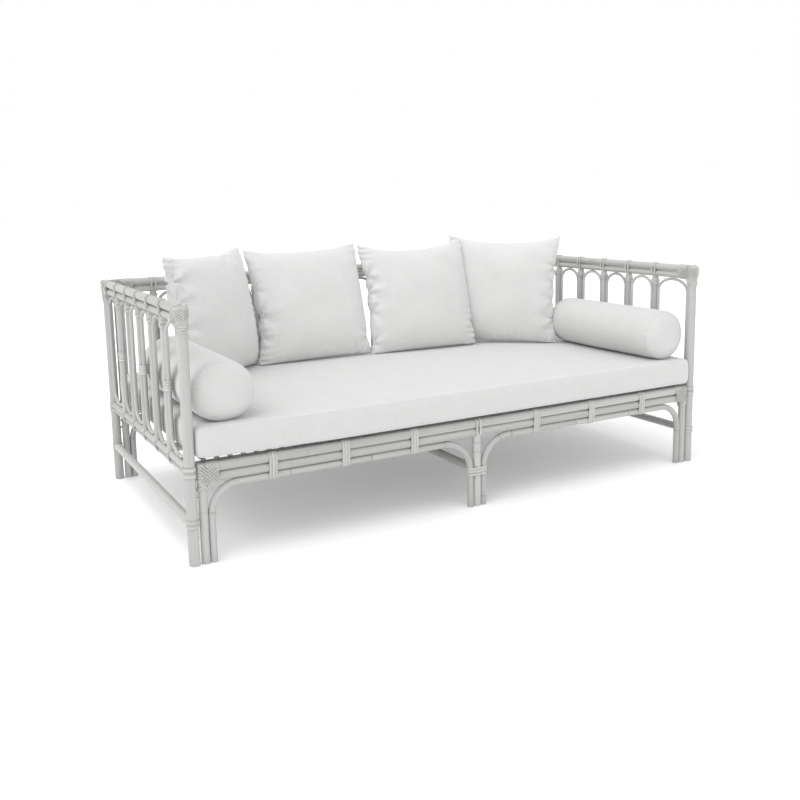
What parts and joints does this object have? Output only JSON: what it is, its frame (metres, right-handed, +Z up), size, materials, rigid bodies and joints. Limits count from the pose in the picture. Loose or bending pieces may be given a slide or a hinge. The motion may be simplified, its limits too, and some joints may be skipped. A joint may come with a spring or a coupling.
{
  "type": "daybed",
  "caption": "Rattan pole daybed with spindle and loop sides, a lath deck, a thin mattress, square scatter cushions and round bolsters.",
  "frame": {"origin": "on the floor, under the middle of the frame's footprint", "axes": "+X along the length, +Y towards the back, +Z up; the open front faces -Y"},
  "size_m": [2, 1, 0.872],
  "materials": {
    "rattan_pole": "white-washed rattan, satin lacquer",
    "peel_binding": "white-washed leather peel, satin",
    "lath": "white-washed cane, matt",
    "mattress_cover": "plain woven off-white cotton linen",
    "cushion_cover": "plain woven off-white cotton linen",
    "bolt_steel": "zinc plated",
    "insert_brass": "plain"
  },
  "bodies": {
    "frame": {"back_apron_bands": "peel_binding", "back_apron_corner_wraps": "peel_binding", "back_apron_lower_rail": "rattan_pole", "back_apron_upper_rail": "rattan_pole", "back_bent_canes": "rattan_pole", "back_end_posts": "rattan_pole", "back_loops": "rattan_pole", "back_middle_post": "rattan_pole", "back_rail_bands": "peel_binding", "back_second_rail": "rattan_pole", "back_spindle_wraps": "peel_binding", "back_spindles": "rattan_pole", "back_top_corner_wraps": "peel_binding", "back_top_rail": "rattan_pole", "bolt_inserts": "insert_brass", "deck_bearers": "rattan_pole", "deck_cross_rail": "rattan_pole", "deck_laths": "lath", "deck_ledgers": "rattan_pole", "frame_bolts": "bolt_steel", "front_apron_bands": "peel_binding", "front_apron_corner_wraps": "peel_binding", "front_apron_lower_rail": "rattan_pole", "front_apron_upper_rail": "rattan_pole", "front_bent_canes": "rattan_pole", "front_end_posts": "rattan_pole", "front_middle_post": "rattan_pole", "left_back_post": "rattan_pole", "left_front_post": "rattan_pole", "left_loops": "rattan_pole", "left_lower_rail": "rattan_pole", "left_post_wraps": "peel_binding", "left_rail_bands": "peel_binding", "left_seat_rail": "rattan_pole", "left_second_rail": "rattan_pole", "left_spindle_wraps": "peel_binding", "left_spindles": "rattan_pole", "left_stretcher": "rattan_pole", "left_top_rail": "rattan_pole", "middle_stretcher": "rattan_pole", "right_back_post": "rattan_pole", "right_front_post": "rattan_pole", "right_loops": "rattan_pole", "right_lower_rail": "rattan_pole", "right_post_wraps": "peel_binding", "right_rail_bands": "peel_binding", "right_seat_rail": "rattan_pole", "right_second_rail": "rattan_pole", "right_spindle_wraps": "peel_binding", "right_spindles": "rattan_pole", "right_stretcher": "rattan_pole", "right_top_rail": "rattan_pole"},
    "mattress": {"mattress": "mattress_cover"},
    "bolster_left": {"bolster_left": "cushion_cover"},
    "bolster_right": {"bolster_right": "cushion_cover"},
    "cushion_1": {"cushion_1": "cushion_cover"},
    "cushion_2": {"cushion_2": "cushion_cover"},
    "cushion_3": {"cushion_3": "cushion_cover"},
    "cushion_4": {"cushion_4": "cushion_cover"}
  },
  "joints": [
    {"name": "mattress_lift", "type": "slide", "parent": "frame", "child": "mattress", "axis": [0, 0, 1], "range_m": [0, 0.52]},
    {"name": "bolster_left_lift", "type": "slide", "parent": "mattress", "child": "bolster_left", "axis": [0, 0, 1], "range_m": [0, 0.52]},
    {"name": "bolster_right_lift", "type": "slide", "parent": "mattress", "child": "bolster_right", "axis": [0, 0, 1], "range_m": [0, 0.52]},
    {"name": "cushion_1_lift", "type": "slide", "parent": "mattress", "child": "cushion_1", "axis": [0, 0, 1], "range_m": [0, 0.52]},
    {"name": "cushion_2_lift", "type": "slide", "parent": "mattress", "child": "cushion_2", "axis": [0, 0, 1], "range_m": [0, 0.52]},
    {"name": "cushion_3_lift", "type": "slide", "parent": "cushion_4", "child": "cushion_3", "axis": [0, 0, 1], "range_m": [0, 0.52]},
    {"name": "cushion_4_lift", "type": "slide", "parent": "mattress", "child": "cushion_4", "axis": [0, 0, 1], "range_m": [0, 0.52]}
  ]
}
